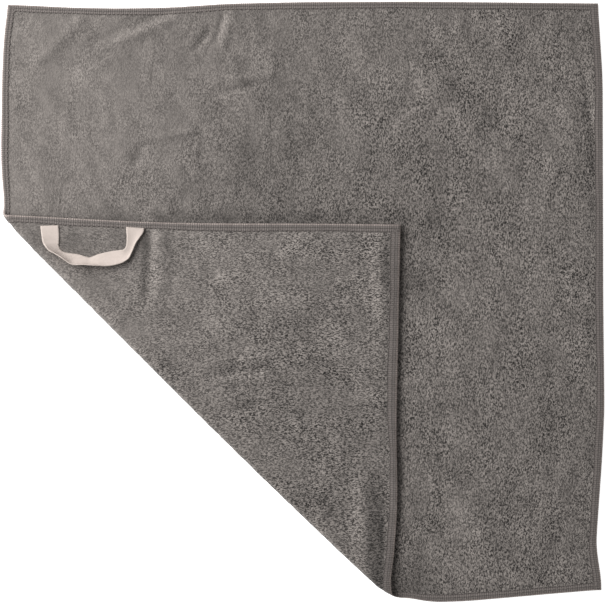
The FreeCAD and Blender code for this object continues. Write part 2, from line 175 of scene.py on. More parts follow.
def hump(value, middle, spread):
    """1 at the middle, falling smoothly towards 0 on both sides."""
    return np.exp(-(((value - middle) / spread) ** 2))


def edge_line(where, points):
    """How far an edge strays from straight, through a few points in millimetres, smoothly."""
    places, strays = np.array(points, float).T / 1000
    value = np.zeros_like(where)
    for nudge in np.linspace(-0.010, 0.010, 9):
        value += np.interp(where + nudge, places, strays) / 9
    return value


# how far each edge strays, both in mm: the place along the edge, then the stray
top_strays = [
    (-200, -2),
    (-185, -2.6),
    (-158, -4),
    (-125, -4.6),
    (-90, -4),
    (-50, -1.4),
    (0, -0.3),
    (80, 0),
    (200, -1.2),
]
left_strays = [
    (-200, 0),
    (55, 0),
    (67, -0.8),
    (107, -0.8),
    (150, -0.2),
    (175, 0.8),
    (188, 2.2),
    (200, 4),
]
right_strays = [
    (-200, -1.0),
    (-187, -1.5),
    (-175, -4.6),
    (-160, -4),
    (-110, -0.6),
    (-75, 1.0),
    (0, 0.2),
    (150, -0.2),
    (200, -3.4),
]
bottom_strays = [
    (-200, 0),
    (40, 0),
    (62, 1.5),
    (80, -0.2),
    (110, 0.8),
    (135, 3.0),
    (170, 6.0),
    (200, 8.5),
]


def stray(x, y):
    """The sideways wander of the flat towel's cloth: its edges aren't quite straight."""
    top = edge_line(x, top_strays)
    left = edge_line(y, left_strays)
    right = edge_line(y, right_strays)
    bottom = edge_line(x, bottom_strays)
    up_share = smooth_step(y, -0.05, half)
    down_share = smooth_step(-y, -0.02, half)
    right_share = smooth_step(x, -0.05, half)
    left_share = smooth_step(-x, 0.0, half)
    return left * left_share + right * right_share, top * up_share + bottom * down_share


# each crease: where it starts and ends, its half width and its height, all in mm
main_creases = [
    ((-172, 163), (-148, 187), 4.0, 0.70),
    ((-160, 150), (-118, 182), 6.0, -0.35),
    ((-135, 175), (-92, 191), 3.5, -0.70),
    ((-128, 171), (-86, 188), 3.5, 0.70),
    ((-70, 170), (-62, 180), 2.2, -0.75),
    ((-57, 176), (-53, 190), 2.2, -0.75),
    ((-52, 172), (-48, 187), 2.5, 0.60),
    ((-86, 134), (-68, 116), 4.0, -0.65),
    ((-55, 147), (-23, 150), 2.2, 0.65),
    ((-53, 139), (-33, 144), 2.6, -0.70),
    ((-112, 92), (-105, 105), 2.8, -0.55),
    ((-104, 108), (-76, 113), 2.8, 0.60),
    ((-20, 172), (-12, 152), 5.0, -0.60),
    ((-30, 118), (12, 92), 6.0, -0.50),
    ((70, 120), (100, 150), 7.0, 0.45),
    ((188, 150), (196, 88), 2.8, -0.75),
    ((176, 128), (182, 95), 5.0, 0.65),
    ((95, 20), (150, -30), 8.0, 0.45),
    ((120, -60), (165, -85), 7.0, -0.50),
    ((72, -150), (100, -185), 7.0, -0.50),
    ((110, -140), (140, -180), 7.0, 0.50),
]
flap_creases = [
    ((-101, 45), (-103, 6), 3.2, -1.30),
    ((-93, 44), (-92, 14), 4.0, 0.70),
    ((-60, -49), (-30, -46), 3.0, -1.00),
    ((-52, -74), (-30, -69), 3.0, -0.90),
    ((-60, -41), (-26, -38), 3.5, 0.70),
    ((-85, 33), (45, 24), 11.0, 0.80),
    ((51, -120), (55, -185), 4.0, -1.00),
    ((40, -125), (43, -182), 7.0, 2.60),
    ((51, 36), (53, 0), 6.0, 1.30),
    ((10, -20), (36, -60), 8.0, -0.70),
]


# broad patches, partly the nap's own darker or lighter tone and partly painted shadow and light: middle,
# half sizes (mm) and strength
main_nap_and_shade_patches = [
    ((-35, 85), (34, 26), -0.22),
    ((-9, 130), (14, 50), -0.20),
    # painted light: lighter towards the upper left, the lamp's side
    ((-150, 120), (40, 45), 0.10),
    ((80, 20), (22, 50), -0.18),
    ((90, -20), (12, 26), 0.12),
    ((105, -150), (14, 26), 0.16),
    ((160, -70), (22, 34), -0.14),
    ((160, 130), (18, 30), 0.12),
    ((70, 90), (40, 20), -0.10),
    ((-75, 178), (60, 6), -0.10),
    # painted shadow on the flat part beside the fold's lower end
    ((70, -185), (16, 12), -0.28),
    # painted shadow on the flat part along the folded corner's upper edge
    ((-50, 56), (130, 6), -0.40),
    ((160, -20), (100, 220), 0.09),
]
flap_nap_and_shade_patches = [
    ((-95, 30), (14, 22), -0.18),
    ((-45, 20), (55, 20), 0.16),
    # painted light on the corner's cloth near its right hem, where it rises
    ((45, 15), (9, 26), 0.20),
    ((-20, -70), (34, 24), -0.10),
    ((22, -90), (22, 50), -0.08),
    # painted shade in the dip beside the side hem, near the fold's lower end
    ((48, -170), (8, 24), -0.34),
    ((-170, 40), (26, 16), -0.16),
    # painted shadow inside the hanging loop
    ((-138, 37), (24, 9), -0.24),
    ((-60, -40), (200, 200), 0.06),
]


def nap_and_painted_light(x, y, creases, patches):
    """Painted light and shade over the nap's own tone, from 0 for dark to 1 for light: creases painted
    lighter on their lamp side and darker on the far side, painted shadow and light and darker or lighter
    nap in patches, and random tone.
    """
    # the lamp's side: each crease is painted lighter on the side that faces the lamp and darker on its
    # far side, painted light and shade
    toward = np.array([-0.92, 0.39]) * 0.001
    behind = creased(x - toward[0], y - toward[1], creases)
    ahead = creased(x + toward[0], y + toward[1], creases)
    light_and_nap = 1.2 * (behind - ahead) / 0.002
    for middle, sizes, strength in patches:
        across, up = (x * 1000 - middle[0]) / sizes[0], (y * 1000 - middle[1]) / sizes[1]
        light_and_nap += strength * np.exp(-(across**2) - up**2)
    light_and_nap += 0.11 * ripples(x, y, 0.030, 51) + 0.10 * ripples(x, y, 0.013, 52)
    return np.clip(0.5 + light_and_nap, 0, 1)


def creased(x, y, creases):
    """The sum of a list of creases."""
    total = np.zeros_like(x)
    for start, end, width, height in creases:
        total += crease(x * 1000, y * 1000, start, end, width, height) / 1000
    return total


def main_lift(x, y):
    """How far the flat part's underside stands off the table, in soft hills and creases."""
    hills = 0.00060 + 0.00022 * ripples(x, y, 0.085, 3) + 0.00014 * ripples(x, y, 0.030, 5)
    return np.clip(hills + creased(x, y, main_creases), 0.0, 0.00130)


def flap_lift(x, y):
    """How far the folded corner's underside stands off the layer below it, where x, y is laid."""
    hills = 0.0006 + 0.00025 * ripples(x, y, 0.080, 11) + 0.00016 * ripples(x, y, 0.030, 12)
    return np.clip(hills + creased(x, y, flap_creases), 0.0, 0.00140)


def fold_end_pull(along, away):
    """The fold's two ends are drawn inwards, on both layers alike, so the outline rounds there."""
    ends = 0.0042 * smooth_step(along, 0.166, 0.187) + 0.0016 * smooth_step(-along, 0.172, 0.187)
    return ends * hump(away, 0.0, 0.012)


def lay(x, y, offset):
    """Where a point of the flat towel comes to lie; offset is its height above the cloth's middle."""
    past = -(x + y) * math.sqrt(0.5) - fold_distance
    near_fold = smooth_step(-past, 0.0, 0.030)
    wander_x, wander_y = stray(x, y)
    x, y = x + wander_x * near_fold, y + wander_y * near_fold
    along = (x - y) * math.sqrt(0.5)
    flat_height = np.maximum(cloth_thickness / 2 + main_lift(x, y) * near_fold + offset, 0.0)
    pull = fold_end_pull(along, np.maximum(-past, 0))
    flat_place = np.stack([x + pull * fold_inward[0], y + pull * fold_inward[1], flat_height], axis=-1)

    turn = np.clip(past / fold_arc, 0, 1) * math.pi
    bulge = edge_line(along, fold_bulge) * 1000
    round_reach = -(fold_radius - offset) * np.sin(turn) * bulge
    round_height = fold_centre - (fold_radius - offset) * np.cos(turn)

    corner_past = half * math.sqrt(2) - fold_distance - fold_arc
    corner_reach = float(corner_at.sum() * math.sqrt(0.5) + fold_distance)
    corner_along = float((corner_at[0] - corner_at[1]) * math.sqrt(0.5))
    reach = np.maximum(past - fold_arc, 0) * corner_reach / corner_past
    settling = np.clip((past - fold_arc) / corner_past, 0, 1.1)
    drawn_out = 0.0032 * smooth_step(along, 0.10, 0.18) - 0.0025 * smooth_step(-along, 0.10, 0.18)
    drawn_out = drawn_out * turn / math.pi * np.clip(1 - settling, 0, 1)
    laid_along = along + corner_along * settling + drawn_out
    laid_x = fold_point[0] + laid_along * fold_along[0] + reach * fold_inward[0]
    laid_y = fold_point[1] + laid_along * fold_along[1] + reach * fold_inward[1]
    bowed = smooth_step(reach, 0.0, 0.020)
    bow_right = 0.0018 * hump(laid_y, -0.060, 0.080) * smooth_step(laid_x, 0.0, 0.050) * bowed
    low_bow = 0.0034 * hump(laid_y, -0.135, 0.045) * smooth_step(laid_x, 0.0, 0.050) * bowed
    bow_down = -0.0014 * hump(laid_x, -0.080, 0.075) * smooth_step(laid_y, 0.0, 0.045) * bowed
    settled = smooth_step(reach, 0.0, 0.026)
    flap_height = flap_base + flap_lift(laid_x, laid_y) - offset
    folded_height = round_height * (1 - settled) + flap_height * settled
    folded_reach = round_reach + reach + fold_end_pull(along, reach)
    folded_place = (
        fold_point
        + laid_along[..., None] * fold_along
        + folded_reach[..., None] * fold_inward
    )
    folded_place[..., 0] += bow_right + low_bow
    folded_place[..., 1] += bow_down
    folded_place[..., 2] = np.where(past > fold_arc, folded_height, round_height)
    return np.where((past > 0)[..., None], folded_place, flat_place)


def new_piece(name, points, faces, pattern=None):
    """Make a smooth mesh object from arrays of points and faces; pattern gives each point's UV."""
    mesh = bpy.data.meshes.new(name)
    mesh.from_pydata(points.tolist(), [], faces.tolist())
    mesh.polygons.foreach_set("use_smooth", [True] * len(mesh.polygons))
    if pattern is not None:
        corners = np.zeros(len(mesh.loops), int)
        mesh.loops.foreach_get("vertex_index", corners)
        mesh.uv_layers.new(name="pattern").data.foreach_set("uv", pattern[corners].ravel())
    mesh.update()
    piece = bpy.data.objects.new(name, mesh)
    bpy.context.collection.objects.link(piece)
    return piece


def past_fold(x, y):
    """How far a place on the flat towel is past the line where the fold begins."""
    return -(x + y) * math.sqrt(0.5) - fold_distance


def cut_at_fold(name, points, faces, past, pattern=None, back=0):
    """Cut one mesh into its flat part, the fold and the turned corner, shaded as one surface.

    With back, faces hold only the front: its own points stand that many further on, and each
    part is closed all round. Strips and stitches run on a little way past the cut.
    """
    whole_faces = np.concatenate([faces, faces[:, ::-1] + back]) if back else faces
    whole = new_piece(name, points, whole_faces)
    normals = np.array([corner.vector for corner in whole.data.vertex_normals])
    bpy.data.objects.remove(whole)
    face_past = past[faces].mean(axis=1) - fold_arc / 2
    round_half = fold_half if back else fold_half - strip_tuck
    parts = {}
    for part, chosen in {
        "flat": face_past < -round_half,
        "fold": np.abs(face_past) <= round_half,
        "corner": face_past > round_half,
    }.items():
        kept = faces[chosen]
        if back:
            starts, ends = kept.ravel(), np.roll(kept, -1, axis=1).ravel()
            met = np.isin(starts * len(points) + ends, ends * len(points) + starts)
            a, b = starts[~met], ends[~met]
            rim = np.concatenate([np.stack([b, a, a + back], 1), np.stack([b, a + back, b + back], 1)])
            kept = np.concatenate([kept, kept[:, ::-1] + back, rim])
        used, renumbered = np.unique(kept, return_inverse=True)
        part_pattern = None if pattern is None else pattern[used]
        piece = new_piece(name + "_" + part, points[used], renumbered.reshape(kept.shape), part_pattern)
        piece.data.normals_split_custom_set_from_vertices(normals[used].tolist())
        parts[part] = (piece, used)
    return parts


def hinge_at_fold(parts):
    """The flat part stays and the corner turns over; the fold stays with the flat part, on its own copy
    of its mesh.
    """
    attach(parts["flat"][0], "towel")
    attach(parts["corner"][0], "corner_flap")
    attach(parts["fold"][0], "towel")
    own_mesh(parts["fold"][0])


def cloth_offset(x, y, face):
    """Half the cloth's thickness, thinner under the hem, with the pile's own unevenness."""
    inside = half - hem_width - np.maximum(np.abs(x), np.abs(y))
    plump = 0.55 + 0.45 * smooth_step(inside, -0.001, 0.005)
    clumps = 0.00010 * ripples(x, y, 0.0052, 20 + face) + 0.00007 * ripples(x, y, 0.0100, 30 + face)
    shed = smooth_step(inside, 0.0, 0.003)
    return cloth_thickness / 2 * plump + clumps * shed


def make_cloth():
    """The whole cloth, two faces on a grid across the flat towel, cut at both ends of the fold."""
    step = row_gap * math.sqrt(2)
    steps = 117
    reach = steps * step
    count = 2 * steps + 1
    line = np.linspace(-reach, reach, count)
    grid_x, grid_y = (axis.ravel() for axis in np.meshgrid(line, line, indexing="ij"))
    front = lay(grid_x, grid_y, cloth_offset(grid_x, grid_y, 1))
    back = lay(grid_x, grid_y, -cloth_offset(grid_x, grid_y, 2))
    index = np.arange(count * count).reshape(count, count)
    a = index[:-1, :-1].ravel()
    b = index[1:, :-1].ravel()
    c = index[1:, 1:].ravel()
    d = index[:-1, 1:].ravel()
    faces = np.concatenate([np.stack([a, b, d], 1), np.stack([b, c, d], 1)])
    past = past_fold(grid_x, grid_y)
    parts = cut_at_fold("towel_cloth", np.concatenate([front, back]), faces, past, back=count * count)
    # painted light and shade for each face, with the nap's own tone
    nap_and_light_values = np.concatenate(
        [
            nap_and_painted_light(front[:, 0], front[:, 1], main_creases, main_nap_and_shade_patches),
            nap_and_painted_light(back[:, 0], back[:, 1], flap_creases, flap_nap_and_shade_patches),
        ]
    )
    places = np.stack([np.tile(grid_x, 2), np.tile(grid_y, 2), np.repeat([0.0, 0.1], count * count)], 1)
    for piece, used in parts.values():
        piece.data.attributes.new("nap_and_painted_light", "FLOAT", "POINT").data.foreach_set("value", nap_and_light_values[used])
        on_flat = piece.data.attributes.new("place_on_flat_towel", "FLOAT_VECTOR", "POINT")
        on_flat.data.foreach_set("vector", places[used].ravel())
    return parts


cloth = make_cloth()
for part, node in {"flat": "main_panel", "fold": "fold_roll", "corner": "flap_panel"}.items():
    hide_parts(node)
hinge_at_fold(cloth)


def new_group(name, inputs, outputs):
    """Start a shader node group with named inputs and outputs."""
    group = bpy.data.node_groups.new(name, "ShaderNodeTree")
    for label, kind, value in inputs:
        socket = group.interface.new_socket(label, in_out="INPUT", socket_type=kind)
        socket.default_value = value
    for label, kind in outputs:
        group.interface.new_socket(label, in_out="OUTPUT", socket_type=kind)
    return group, group.nodes.new("NodeGroupInput"), group.nodes.new("NodeGroupOutput")


def add_node(tree, kind, values=None, **settings):
    """Add a node, with its settings and the values of its unlinked inputs."""
    node = tree.nodes.new(kind)
    for name, value in settings.items():
        setattr(node, name, value)
    for name, value in (values or {}).items():
        node.inputs[name].default_value = value
    return node


def add_noise(tree, scale, detail, roughness, distortion):
    """Add a noise texture."""
    values = {"Scale": scale, "Detail": detail, "Roughness": roughness, "Distortion": distortion}
    return add_node(tree, "ShaderNodeTexNoise", values)


def make_pile_group():
    """Cut pile in small long clumps: its height, grain, broad nap and sleek, smoothed-down patches."""
    group, entry, exit_node = new_group(
        "pile_clumps",
        [("Vector", "NodeSocketVector", (0, 0, 0))],
        [(label, "NodeSocketFloat") for label in ("Height", "Grain", "Nap", "Sleek")],
    )
    strands = add_node(group, "ShaderNodeVectorMath", operation="MULTIPLY")
    strands.inputs[1].default_value = (1.0, 0.55, 1.0)
    group.links.new(entry.outputs["Vector"], strands.inputs[0])
    fine = add_noise(group, 1250.0, 1.0, 0.6, 1.0)
    coarse = add_noise(group, 300.0, 2.0, 0.6, 1.5)
    broad = add_noise(group, 34.0, 4.0, 0.6, 1.0)
    patchy = add_noise(group, 52.0, 3.0, 0.65, 0.8)
    for noise in (fine, coarse, broad, patchy):
        group.links.new(strands.outputs["Vector"], noise.inputs["Vector"])
    clumps = add_node(group, "ShaderNodeMix")
    clumps.inputs["Factor"].default_value = 0.14
    group.links.new(fine.outputs["Fac"], clumps.inputs["A"])
    group.links.new(coarse.outputs["Fac"], clumps.inputs["B"])
    group.links.new(clumps.outputs["Result"], exit_node.inputs["Height"])
    grain = add_node(group, "ShaderNodeMapRange", {"From Min": 0.43, "From Max": 0.57})
    group.links.new(clumps.outputs["Result"], grain.inputs["Value"])
    group.links.new(grain.outputs["Result"], exit_node.inputs["Grain"])
    nap = add_node(group, "ShaderNodeMapRange", {"From Min": 0.3, "From Max": 0.7})
    group.links.new(broad.outputs["Fac"], nap.inputs["Value"])
    group.links.new(nap.outputs["Result"], exit_node.inputs["Nap"])
    sleek = add_node(group, "ShaderNodeMapRange", {"From Min": 0.36, "From Max": 0.72, "To Max": 0.46})
    group.links.new(patchy.outputs["Fac"], sleek.inputs["Value"])
    group.links.new(sleek.outputs["Result"], exit_node.inputs["Sleek"])
    return group


pile_group = make_pile_group()


def make_pile_material():
    """Matt microfibre pile over the nap's own tones, with painted shade in the clumps' gaps, on the
    creases' far sides and in patches, and painted light on the creases' lamp sides and towards the upper
    left.
    """
    material = bpy.data.materials.new("grey_brown_pile")
    material.use_nodes = True
    tree = material.node_tree
    shader = tree.nodes["Principled BSDF"]
    place = add_node(tree, "ShaderNodeTexCoord")
    pile = add_node(tree, "ShaderNodeGroup", node_tree=pile_group)
    on_flat = add_node(tree, "ShaderNodeAttribute", attribute_name="place_on_flat_towel")
    tree.links.new(on_flat.outputs["Vector"], pile.inputs["Vector"])
    # the pile's own grain, with painted shade in the gaps between clumps at its darkest end
    grain_and_gap_shade = add_node(tree, "ShaderNodeMix", data_type="RGBA")
    grain_and_gap_shade.inputs["A"].default_value = tuple(0.10 * part for part in pile_colour) + (1.0,)
    grain_and_gap_shade.inputs["B"].default_value = tuple(1.74 * part for part in pile_colour) + (1.0,)
    tree.links.new(pile.outputs["Grain"], grain_and_gap_shade.inputs["Factor"])
    nap_shade = add_node(tree, "ShaderNodeMix", data_type="RGBA")
    nap_shade.inputs["A"].default_value = (0.84, 0.84, 0.84, 1.0)
    nap_shade.inputs["B"].default_value = (1.10, 1.10, 1.10, 1.0)
    tree.links.new(pile.outputs["Nap"], nap_shade.inputs["Factor"])
    nap_colour = add_node(tree, "ShaderNodeMix", data_type="RGBA", blend_type="MULTIPLY")
    nap_colour.inputs["Factor"].default_value = 1.0
    tree.links.new(grain_and_gap_shade.outputs["Result"], nap_colour.inputs["A"])
    tree.links.new(nap_shade.outputs["Result"], nap_colour.inputs["B"])
    # painted light and shade from the creases and patches, with the nap's own tone
    light_and_nap = add_node(tree, "ShaderNodeAttribute", attribute_name="nap_and_painted_light")
    nap_and_light_shade = add_node(tree, "ShaderNodeMix", data_type="RGBA")
    nap_and_light_shade.inputs["A"].default_value = (0.56, 0.56, 0.56, 1.0)
    nap_and_light_shade.inputs["B"].default_value = (1.40, 1.40, 1.40, 1.0)
    tree.links.new(light_and_nap.outputs["Fac"], nap_and_light_shade.inputs["Factor"])
    # painted light: the pile is blended towards a lighter, smoother colour towards the upper left, the
    # lamp's side; the sleek patches added here are the pile's own smoother tone
    toward_lamp_side = add_node(tree, "ShaderNodeVectorMath", operation="DOT_PRODUCT")
    toward_lamp_side.inputs[1].default_value = (-0.8, 0.6, 0.0)
    tree.links.new(place.outputs["Object"], toward_lamp_side.inputs[0])
    lamp_side_range = {"From Min": 0.00, "From Max": 0.18, "To Max": 0.50}
    lamp_side_share = add_node(tree, "ShaderNodeMapRange", lamp_side_range)
    tree.links.new(toward_lamp_side.outputs["Value"], lamp_side_share.inputs["Value"])
    sleek_and_lit_colour = add_node(tree, "ShaderNodeMix", data_type="RGBA")
    sleek_and_lit_colour.inputs["B"].default_value = tuple(1.10 * part for part in pile_colour) + (1.0,)
    sleek_and_lit_share = add_node(tree, "ShaderNodeMath", operation="ADD", use_clamp=True)
    tree.links.new(lamp_side_share.outputs["Result"], sleek_and_lit_share.inputs[0])
    tree.links.new(pile.outputs["Sleek"], sleek_and_lit_share.inputs[1])
    tree.links.new(sleek_and_lit_share.outputs["Value"], sleek_and_lit_colour.inputs["Factor"])
    tree.links.new(nap_colour.outputs["Result"], sleek_and_lit_colour.inputs["A"])
    nap_and_light_mix = add_node(tree, "ShaderNodeMix", data_type="RGBA", blend_type="MULTIPLY")
    nap_and_light_mix.inputs["Factor"].default_value = 1.0
    tree.links.new(sleek_and_lit_colour.outputs["Result"], nap_and_light_mix.inputs["A"])
    tree.links.new(nap_and_light_shade.outputs["Result"], nap_and_light_mix.inputs["B"])
    tree.links.new(nap_and_light_mix.outputs["Result"], shader.inputs["Base Color"])
    rumple = add_node(tree, "ShaderNodeBump", {"Strength": 0.6, "Distance": 0.0018})
    tree.links.new(pile.outputs["Nap"], rumple.inputs["Height"])
    bump = add_node(tree, "ShaderNodeBump", {"Strength": 1.0, "Distance": 0.0006})
    tree.links.new(pile.outputs["Height"], bump.inputs["Height"])
    tree.links.new(rumple.outputs["Normal"], bump.inputs["Normal"])
    tree.links.new(bump.outputs["Normal"], shader.inputs["Normal"])
    shader.inputs["Roughness"].default_value = 0.95
    shader.inputs["Specular IOR Level"].default_value = 0.15
    shader.inputs["Sheen Weight"].default_value = 0.15
    shader.inputs["Sheen Roughness"].default_value = 0.6
    return material


pile_material = make_pile_material()
for piece, _ in cloth.values():
    piece.data.materials.append(pile_material)


# --- Hem strips -------------------------------------------------------------------------------
# The four edges are bound by a smooth knitted strip, rolled over the raw edge and 5 to 7 mm
# wide. The two side strips run the full height and cap the ends of the top and bottom ones.

hem_colour = (0.208, 0.184, 0.171)
hem_thickness = 0.00115
stitch_pitch = 0.0030
hem_widths = {"left": 0.0052, "right": 0.0058, "top": 0.0050, "bottom": 0.0054}
corner_broader = {"left": 0.0007, "bottom": 0.0017}
middle_row = 0.53


def hem_height(inward, width):
    """Half the strip's thickness at a distance from the edge, sunk along its middle seam row."""
    rounded = np.maximum(1 - np.abs(2 * inward / width - 1) ** 3, 0) ** 0.5
    sunk = 0.30 * hump(inward, middle_row * width, 0.0004)
    return hem_thickness * rounded * (1 - sunk)


def on_edge(edge, run, inward):
    """The flat towel's x, y for a place run metres along an edge and inward from it."""
    if edge == "left":
        return inward - half, run
    if edge == "right":
        return half - inward, run
    if edge == "top":
        return run, half - inward
    return run, inward - half


def edge_width(edge, run):
    """The strip's width, which varies a little, and is more on the turned corner."""
    broader = corner_broader.get(edge, 0.0) * smooth_step(-run, 0.04, 0.08)
    return hem_widths[edge] * (1 + 0.05 * np.sin(run * 61 + 1.3) + 0.03 * np.sin(run * 170)) + broader


def make_hem(edge):
    """A flattened roll along one edge, drawn in a little at every stitch."""
    reach = half if edge in ("left", "right") else half - 0.0008
    plump = 1.0 if edge in ("left", "right") else 0.93
    stations = 561
    columns_across = 12
    runs = np.linspace(-reach, reach, stations)
    shares = (1 - np.cos(np.linspace(0, math.pi, columns_across))) / 2
    run, share = np.meshgrid(runs, np.concatenate([shares, shares[-2:0:-1]]), indexing="ij")
    face = np.concatenate([np.ones(columns_across), -np.ones(columns_across - 2)])[None, :]
    width = edge_width(edge, run)
    inward = share * width
    at_stitches = 1 + np.cos(run * 2 * math.pi / stitch_pitch)
    drawn_in = 1 - 0.10 * at_stitches * hump(share, 0.85, 0.2)
    ends = np.sqrt(np.clip((reach - np.abs(run)) / 0.0012, 0, 1))
    height = hem_height(inward, width) * drawn_in * ends * plump
    x, y = on_edge(edge, run, inward)
    points = lay(x, y, face * height)
    rows, columns = run.shape
    index = np.arange(rows * columns).reshape(rows, columns)
    following = np.roll(index, -1, axis=1)
    quads = np.stack(
        [index[:-1].ravel(), index[1:].ravel(), following[1:].ravel(), following[:-1].ravel()], 1
    )
    if edge in ("right", "bottom"):
        quads = quads[:, ::-1]
    pattern = np.stack([run.ravel(), share.ravel() * 0.005], 1)
    points = points.reshape(-1, 3)
    if edge in ("top", "right"):
        return {"flat": (new_piece(edge + "_hem_strip", points, quads, pattern), None)}
    return cut_at_fold(edge + "_hem_strip", points, quads, past_fold(x, y).ravel(), pattern)


def make_hem_material():
    """Smooth matt knitted strip with fine ribs across it, a painted highlight on its rolled outer lip and
    painted shade in the grooves of its needle rows.
    """
    material = bpy.data.materials.new("hem_knit")
    material.use_nodes = True
    tree = material.node_tree
    shader = tree.nodes["Principled BSDF"]
    place = add_node(tree, "ShaderNodeUVMap", uv_map="pattern")
    rib_values = {"Scale": 212.0, "Distortion": 1.8, "Detail": 2.0, "Detail Scale": 3.0}
    ribs = add_node(tree, "ShaderNodeTexWave", rib_values)
    ribs.bands_direction = "X"
    tree.links.new(place.outputs["UV"], ribs.inputs["Vector"])
    fuzz = add_node(tree, "ShaderNodeTexNoise", {"Scale": 900.0, "Detail": 3.0, "Roughness": 0.6})
    tree.links.new(place.outputs["UV"], fuzz.inputs["Vector"])
    shade = add_node(tree, "ShaderNodeMix", data_type="RGBA")
    shade.inputs["A"].default_value = tuple(0.60 * part for part in hem_colour) + (1.0,)
    shade.inputs["B"].default_value = tuple(1.35 * part for part in hem_colour) + (1.0,)
    tree.links.new(fuzz.outputs["Fac"], shade.inputs["Factor"])
    split = add_node(tree, "ShaderNodeSeparateXYZ")
    tree.links.new(place.outputs["UV"], split.inputs["Vector"])
    # painted light and shade across the strip: a painted highlight on the rolled outer lip, and painted
    # shade along both needle rows' grooves, darkest at the inner row
    across = add_node(tree, "ShaderNodeValToRGB")
    across.color_ramp.elements[0].position = 0.10
    across.color_ramp.elements[0].color = (1.70, 1.62, 1.60, 1.0)
    across.color_ramp.elements[1].position = 0.88
    across.color_ramp.elements[1].color = (0.26, 0.25, 0.25, 1.0)
    for position, shade_of in ((0.22, 0.66), (0.34, 0.86), (0.47, 0.42), (0.60, 0.92), (0.74, 0.86)):
        across.color_ramp.elements.new(position).color = (shade_of, shade_of * 0.99, shade_of * 0.99, 1.0)
    spread = add_node(tree, "ShaderNodeMath", {1: 200.0}, operation="MULTIPLY")
    tree.links.new(split.outputs["Y"], spread.inputs[0])
    tree.links.new(spread.outputs["Value"], across.inputs["Fac"])
    lip_light_and_groove_shade = add_node(tree, "ShaderNodeMix", data_type="RGBA", blend_type="MULTIPLY")
    lip_light_and_groove_shade.inputs["Factor"].default_value = 1.0
    tree.links.new(shade.outputs["Result"], lip_light_and_groove_shade.inputs["A"])
    tree.links.new(across.outputs["Color"], lip_light_and_groove_shade.inputs["B"])
    ticks = add_node(tree, "ShaderNodeMix", data_type="RGBA")
    ticks.inputs["A"].default_value = (0.76, 0.76, 0.76, 1.0)
    ticks.inputs["B"].default_value = (1.24, 1.24, 1.24, 1.0)
    tree.links.new(ribs.outputs["Fac"], ticks.inputs["Factor"])
    ticked = add_node(tree, "ShaderNodeMix", data_type="RGBA", blend_type="MULTIPLY")
    ticked.inputs["Factor"].default_value = 1.0
    tree.links.new(lip_light_and_groove_shade.outputs["Result"], ticked.inputs["A"])
    tree.links.new(ticks.outputs["Result"], ticked.inputs["B"])
    tree.links.new(ticked.outputs["Result"], shader.inputs["Base Color"])
    bump = add_node(tree, "ShaderNodeBump", {"Strength": 0.6, "Distance": 0.0003})
    tree.links.new(ribs.outputs["Fac"], bump.inputs["Height"])
    tree.links.new(bump.outputs["Normal"], shader.inputs["Normal"])
    shader.inputs["Roughness"].default_value = 0.8
    shader.inputs["Specular IOR Level"].default_value = 0.3
    shader.inputs["Sheen Weight"].default_value = 0.1
    return material


hem_material = make_hem_material()
for edge, nodes in {
    "left": ["left_hem", "left_hem_bend", "flap_top_hem"],
    "bottom": ["bottom_hem", "bottom_hem_bend", "flap_side_hem"],
    "top": ["top_hem"],
    "right": ["right_hem"],
}.items():
    parts = make_hem(edge)
    for (strip, _), node in zip(parts.values(), nodes):
        strip.data.materials.append(hem_material)
        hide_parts(node)
    if len(parts) == 3:
        hinge_at_fold(parts)
    else:
        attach(parts["flat"][0], "towel")

# --- Stitches ---------------------------------------------------------------------------------
# Two rows of needle stitches run along every hem, one at its inner edge and one in its middle,
# with fine threads that go across and round the outer edge like rungs. All are dark polyester.

thread_colour = (0.215, 0.190, 0.177)
needle_thread = 0.00058
rung_thread = 0.00022
rung_pitch = 0.00135
# each needle row's place, as a share of the strip's width, and its stitches' length
needle_rows = ((0.89, 0.0018), (middle_row, 0.0015))


def tube(runs, inwards, heights, edge, thickness):
    """Three-sided threads, each a row of the arrays, laid over an edge of the flat towel."""
    threads, count = runs.shape
    x, y = on_edge(edge, runs, inwards)
    middle = lay(x, y, heights)
    ahead = np.gradient(middle, axis=1)
    ahead /= np.linalg.norm(ahead, axis=2, keepdims=True) + 1e-12
    sideways = np.cross(ahead, np.array([0.0, 0.0, 1.0]))
    level = np.linalg.norm(sideways, axis=2, keepdims=True)
    run_heading = np.array([0.0, 1.0, 0.0]) if edge in ("left", "right") else np.array([1.0, 0.0, 0.0])
    sideways = np.where(level > 0.15, sideways / np.maximum(level, 1e-9), run_heading)
    up = np.cross(sideways, ahead)
    taper = np.sin(np.linspace(0.12, math.pi - 0.12, count)) ** 0.35
    rings = []
    for turn in (0.5 * math.pi, 0.5 * math.pi + 2.0944, 0.5 * math.pi + 4.1888):
        swell = math.cos(turn) * sideways + math.sin(turn) * up
        rings.append(middle + swell * (thickness / 2 * taper)[None, :, None])
    points = np.stack(rings, axis=2)
    index = np.arange(points[..., 0].size).reshape(threads, count, 3)
    following = np.roll(index, -1, axis=2)
    quads = np.stack([index[:, :-1], following[:, :-1], following[:, 1:], index[:, 1:]], axis=-1)
    past = np.repeat(past_fold(x, y).mean(axis=1), count * 3)
    return points.reshape(-1, 3), quads.reshape(-1, 4), past


